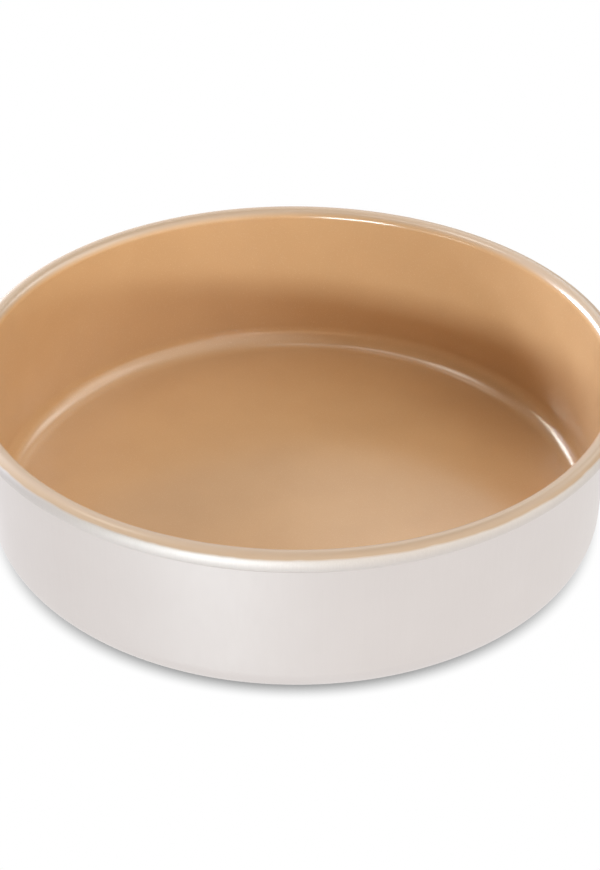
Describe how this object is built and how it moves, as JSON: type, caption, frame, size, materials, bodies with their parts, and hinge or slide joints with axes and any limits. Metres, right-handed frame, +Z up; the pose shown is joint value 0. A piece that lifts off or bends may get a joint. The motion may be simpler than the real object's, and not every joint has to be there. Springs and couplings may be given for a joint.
{
  "type": "round cake pan",
  "caption": "Round drawn cake pan with a flat floor, near-upright wall, rounded inside corner, rolled rim over a hidden wire, bare metal outside and a nonstick lining.",
  "frame": {"origin": "middle of the underside, on the surface that the pan stands on", "axes": "+Z up along the axis that the pan is turned about; X and Y are any two level directions at right angles"},
  "size_m": [0.2462, 0.2462, 0.064],
  "materials": {
    "bare_aluminium": "bare sheet, satin, faintly brushed round the pan",
    "galvanised_wire": "galvanised, dull",
    "gold_nonstick": "sprayed and baked nonstick film, semi-gloss, gold tan"
  },
  "bodies": {
    "root": {"pan_shell": "bare_aluminium", "rim_wire": "galvanised_wire", "nonstick_lining": "gold_nonstick"}
  },
  "joints": []
}
